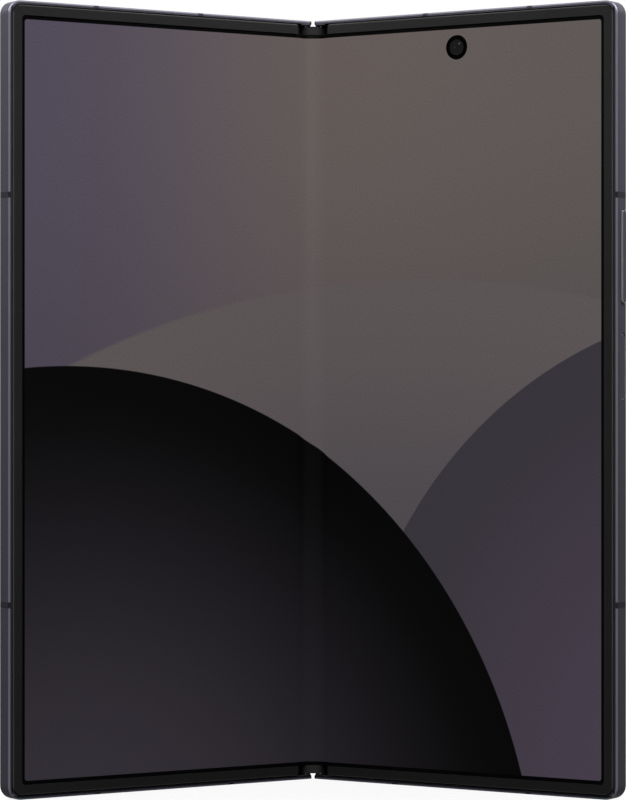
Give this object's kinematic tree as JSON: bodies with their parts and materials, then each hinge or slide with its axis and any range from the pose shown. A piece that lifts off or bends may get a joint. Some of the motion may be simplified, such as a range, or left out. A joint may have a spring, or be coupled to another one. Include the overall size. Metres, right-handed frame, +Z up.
{
  "type": "foldable smartphone",
  "caption": "Book-style folding smartphone, half open and standing on its edge: two thin display halves joined by a geared spine hinge, with keys, cameras and a card tray.",
  "frame": {"origin": "centre of the footprint's bounding box, on the lower edges that the phone stands on", "axes": "+Z up along the hinge, +Y away from the viewer of the inner display, +X to the viewer's right, towards the half with the keys"},
  "size_m": [0.1243, 0.0418, 0.1584],
  "materials": {
    "frame_metal": "satin anodised, dark graphite violet",
    "antenna_plastic": "satin",
    "bezel_black": "matte",
    "screen": "glossy flexible display showing a dim abstract picture",
    "steel": "satin",
    "spine_metal": "satin anodised",
    "cap_black": "satin",
    "screw_black": "satin",
    "cell": "matte wrap",
    "board": "solder mask",
    "cover_glass_black": "glossy toughened glass over black",
    "back_glass_dark": "satin toughened glass over dark film",
    "lens_black": "glossy lens",
    "flash_cream": "diffuser",
    "copper": "enamelled copper",
    "flex_amber": "polyimide"
  },
  "bodies": {
    "hinge_spine": {"spine_cover": "spine_metal", "spine_core": "steel", "rail_housing_bottom": "steel", "rail_housing_top": "steel", "hinge_cap_bottom": "cap_black", "hinge_cap_top": "cap_black", "spine_screws": "screw_black", "detent_springs": "steel", "display_fold_zone": "screen", "hinge_flex": "flex_amber"},
    "left_half": {"left_frame": "frame_metal", "left_antenna_bands": "antenna_plastic", "left_bezel": "bezel_black", "left_display": "screen", "left_display_plate": "steel", "left_swing_arms": "steel", "left_bracket_screws": "screw_black", "left_battery": "cell", "left_board": "board", "left_magnets": "steel", "cover_display_glass": "cover_glass_black", "cover_display_panel": "cover_glass_black", "cover_camera": "lens_black", "earpiece_speaker": "bezel_black", "card_socket": "steel"},
    "right_half": {"right_frame": "frame_metal", "right_antenna_bands": "antenna_plastic", "right_bezel": "bezel_black", "right_display": "screen", "right_display_plate": "steel", "right_swing_arms": "steel", "right_bracket_screws": "screw_black", "right_battery": "cell", "right_magnets": "steel", "back_glass": "back_glass_dark", "camera_island": "frame_metal", "camera_rings": "frame_metal", "camera_lenses": "lens_black", "flash_lens": "flash_cream", "camera_modules": "bezel_black", "inner_camera": "lens_black", "main_board": "board", "board_shields": "steel", "lower_board": "board", "charging_coil": "copper", "usb_socket": "steel", "bottom_speaker": "bezel_black", "vibration_motor": "steel", "key_switches": "steel"},
    "left_sync": {"left_sync_shafts": "steel"},
    "left_idler": {"left_idlers": "steel"},
    "right_idler": {"right_idlers": "steel"},
    "right_sync": {"right_sync_shafts": "steel"},
    "left_wing": {"left_wing_plate": "steel"},
    "right_wing": {"right_wing_plate": "steel"},
    "tray": {"card_tray": "frame_metal"},
    "volume": {"volume_key": "frame_metal"},
    "side": {"side_key": "frame_metal"}
  },
  "joints": [
    {"name": "left_fold", "type": "hinge", "parent": "hinge_spine", "child": "left_half", "pos_m": [-0.00112, 0.01757, 0.0792], "axis": [0, 0, 1], "range_deg": [-32.6, 57.4], "deforming": ["display_fold_zone", "hinge_flex"]},
    {"name": "right_fold", "type": "hinge", "parent": "hinge_spine", "child": "right_half", "pos_m": [0.00112, 0.01757, 0.0792], "axis": [0, 0, -1], "range_deg": [-32.6, 57.4]},
    {"name": "left_sync_turn", "type": "hinge", "parent": "hinge_spine", "child": "left_sync", "pos_m": [-0.0019, 0.01834, 0.0792], "axis": [0, 0, 1], "range_deg": [-32.6, 57.4]},
    {"name": "left_idler_turn", "type": "hinge", "parent": "hinge_spine", "child": "left_idler", "pos_m": [-0.00063, 0.01834, 0.0792], "axis": [0, 0, -1], "range_deg": [-32.6, 57.4]},
    {"name": "right_idler_turn", "type": "hinge", "parent": "hinge_spine", "child": "right_idler", "pos_m": [0.00063, 0.01834, 0.0792], "axis": [0, 0, 1], "range_deg": [-32.6, 57.4]},
    {"name": "right_sync_turn", "type": "hinge", "parent": "hinge_spine", "child": "right_sync", "pos_m": [0.0019, 0.01834, 0.0792], "axis": [0, 0, -1], "range_deg": [-32.6, 57.4]},
    {"name": "left_wing_tilt", "type": "hinge", "parent": "left_half", "child": "left_wing", "pos_m": [-0.00519, 0.01581, 0.0792], "axis": [0, 0, 1], "range_deg": [-7.24, 12.74]},
    {"name": "right_wing_tilt", "type": "hinge", "parent": "right_half", "child": "right_wing", "pos_m": [0.00519, 0.01581, 0.0792], "axis": [0, 0, -1], "range_deg": [-7.24, 12.74]},
    {"name": "volume_press", "type": "slide", "parent": "right_half", "child": "volume", "axis": [-0.8425, 0.5388, 0], "range_m": [0, 0.00022], "stiffness_N_per_m": 800},
    {"name": "side_press", "type": "slide", "parent": "right_half", "child": "side", "axis": [-0.8425, 0.5388, 0], "range_m": [0, 0.00022], "stiffness_N_per_m": 800},
    {"name": "tray_slide", "type": "slide", "parent": "left_half", "child": "tray", "axis": [0, 0, -1], "range_m": [0, 0.0155]}
  ],
  "couplings": [
    {"joint": "right_fold", "follows": "left_fold", "ratio": 1},
    {"joint": "left_sync_turn", "follows": "left_fold", "ratio": 1},
    {"joint": "left_idler_turn", "follows": "left_fold", "ratio": 1},
    {"joint": "right_idler_turn", "follows": "left_fold", "ratio": 1},
    {"joint": "right_sync_turn", "follows": "left_fold", "ratio": 1},
    {"joint": "left_wing_tilt", "follows": "left_fold", "ratio": 0.222},
    {"joint": "right_wing_tilt", "follows": "left_fold", "ratio": 0.222}
  ]
}
